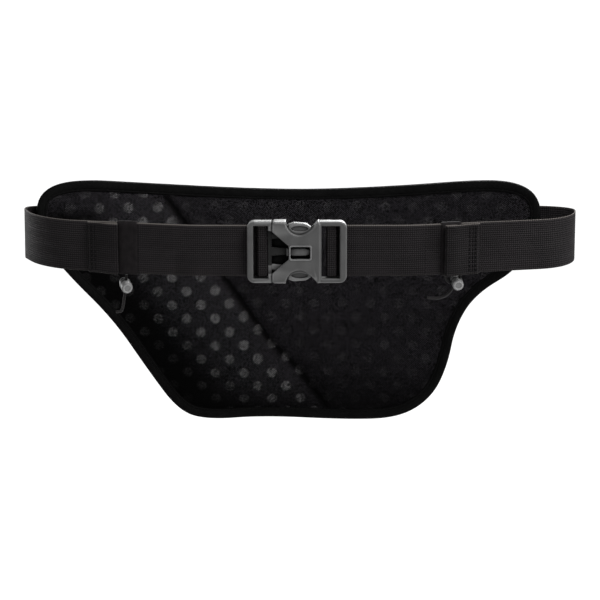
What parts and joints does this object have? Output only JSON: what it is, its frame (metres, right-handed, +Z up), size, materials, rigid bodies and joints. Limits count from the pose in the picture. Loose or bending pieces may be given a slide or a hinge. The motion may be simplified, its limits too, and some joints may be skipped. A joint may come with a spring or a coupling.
{
  "type": "waist pack",
  "caption": "Waist pack with padded curved back panel, angled bottle sleeve, zipped pocket and buckled webbing belt with sliding keepers and cord locks.",
  "frame": {"origin": "middle of the waist ring, on the line through the two side bends of the belt", "axes": "+X along the buckled belt, +Y away from the wearer, +Z up"},
  "size_m": [0.4201, 0.2024, 0.1908],
  "materials": {
    "foam": "closed-cell foam, satin",
    "spacer_mesh": "knitted mesh",
    "lining": "plain weave",
    "binding": "ribbed tape",
    "shell_fabric": "ripstop nylon",
    "stretch_fabric": "stretch knit",
    "zip_tape": "woven tape",
    "zip_plastic": "moulded",
    "slider_metal": "satin black",
    "pull_plastic": "moulded",
    "webbing": "flat woven nylon",
    "elastic": "knitted elastic",
    "buckle_plastic": "moulded acetal",
    "cord": "braided elastic cord",
    "lock_plastic": "moulded",
    "spring_steel": "bright"
  },
  "bodies": {
    "pack": {"back_foam": "foam", "back_mesh": "spacer_mesh", "back_lining": "lining", "edge_binding": "binding", "main_pocket": "shell_fabric", "zip_tape": "zip_tape", "zip_teeth": "zip_plastic", "stretch_pocket": "stretch_fabric", "stretch_binding": "binding", "bottle_sleeve": "shell_fabric", "sleeve_hem": "binding", "left_rear_strap": "webbing", "right_rear_strap": "webbing", "left_side_bend": "webbing", "right_side_bend": "webbing"},
    "belt": {"left_front_strap": "webbing", "right_front_strap": "webbing", "left_strap_tail": "webbing", "right_strap_tail": "webbing", "left_slack": "webbing", "right_slack": "webbing"},
    "male_half": {"buckle_male": "buckle_plastic", "left_loop": "webbing"},
    "upper_prong": {"upper_prong": "buckle_plastic"},
    "lower_prong": {"lower_prong": "buckle_plastic"},
    "female_half": {"buckle_female": "buckle_plastic", "right_loop": "webbing"},
    "left_keeper": {"left_keeper": "elastic", "left_cord": "cord"},
    "right_keeper": {"right_keeper": "elastic", "right_cord": "cord", "right_cord_return": "cord"},
    "left_lock": {"left_lock_barrel": "lock_plastic", "left_lock_spring": "spring_steel"},
    "right_lock": {"right_lock_barrel": "lock_plastic", "right_lock_spring": "spring_steel"},
    "left_button": {"left_lock_button": "lock_plastic"},
    "right_button": {"right_lock_button": "lock_plastic"},
    "zip_slider": {"zip_slider": "slider_metal"},
    "zip_pull": {"zip_pull": "pull_plastic"}
  },
  "joints": [
    {"name": "belt_swing", "type": "hinge", "parent": "pack", "child": "belt", "pos_m": [0, 0, 0], "axis": [-1, 0, 0], "range_deg": [0, 30], "deforming": ["left_side_bend", "right_side_bend"]},
    {"name": "male_slide", "type": "slide", "parent": "belt", "child": "male_half", "axis": [-1, 0, 0], "range_m": [0, 0.029], "deforming": ["left_slack"]},
    {"name": "female_slide", "type": "slide", "parent": "belt", "child": "female_half", "axis": [1, 0, 0], "range_m": [0, 0.029], "deforming": ["right_slack"]},
    {"name": "upper_squeeze", "type": "hinge", "parent": "male_half", "child": "upper_prong", "pos_m": [-0.0209, -0.06097, 0.00515], "axis": [0, 0.9945, 0.1045], "range_deg": [0, 9], "stiffness_Nm_per_rad": 0.6, "deforming": ["upper_prong"]},
    {"name": "lower_squeeze", "type": "hinge", "parent": "male_half", "child": "lower_prong", "pos_m": [-0.0209, -0.05857, -0.01772], "axis": [0, -0.9945, -0.1045], "range_deg": [0, 9], "stiffness_Nm_per_rad": 0.6, "deforming": ["lower_prong"]},
    {"name": "left_keeper_slide", "type": "slide", "parent": "belt", "child": "left_keeper", "axis": [0.9803, -0.1966, -0.0207], "range_m": [0, 0.03]},
    {"name": "left_lock_slide", "type": "slide", "parent": "left_keeper", "child": "left_lock", "axis": [-0.1095, 0.2577, -0.96], "range_m": [0, 0.006], "deforming": ["left_cord"]},
    {"name": "left_button_press", "type": "slide", "parent": "left_lock", "child": "left_button", "axis": [0.2672, -0.9226, -0.2782], "range_m": [0, 0.0015], "stiffness_N_per_m": 400, "springref_m": -0.002, "deforming": ["left_lock_spring"]},
    {"name": "right_keeper_slide", "type": "slide", "parent": "belt", "child": "right_keeper", "axis": [-0.9803, -0.1966, -0.0207], "range_m": [0, 0.015]},
    {"name": "right_lock_slide", "type": "slide", "parent": "right_keeper", "child": "right_lock", "axis": [-0.443, 0.2138, -0.8707], "range_m": [0, 0.006], "deforming": ["right_cord", "right_cord_return"]},
    {"name": "right_button_press", "type": "slide", "parent": "right_lock", "child": "right_button", "axis": [0.1147, -0.9496, -0.2916], "range_m": [0, 0.0015], "stiffness_N_per_m": 400, "springref_m": -0.002, "deforming": ["right_lock_spring"]},
    {"name": "zip_slide", "type": "slide", "parent": "pack", "child": "zip_slider", "axis": [1, 0, 0], "range_m": [0, 0.122]},
    {"name": "pull_swing", "type": "hinge", "parent": "zip_slider", "child": "zip_pull", "pos_m": [-0.047, 0.1181, -0.014], "axis": [1, 0, 0], "range_deg": [0, 100]}
  ]
}
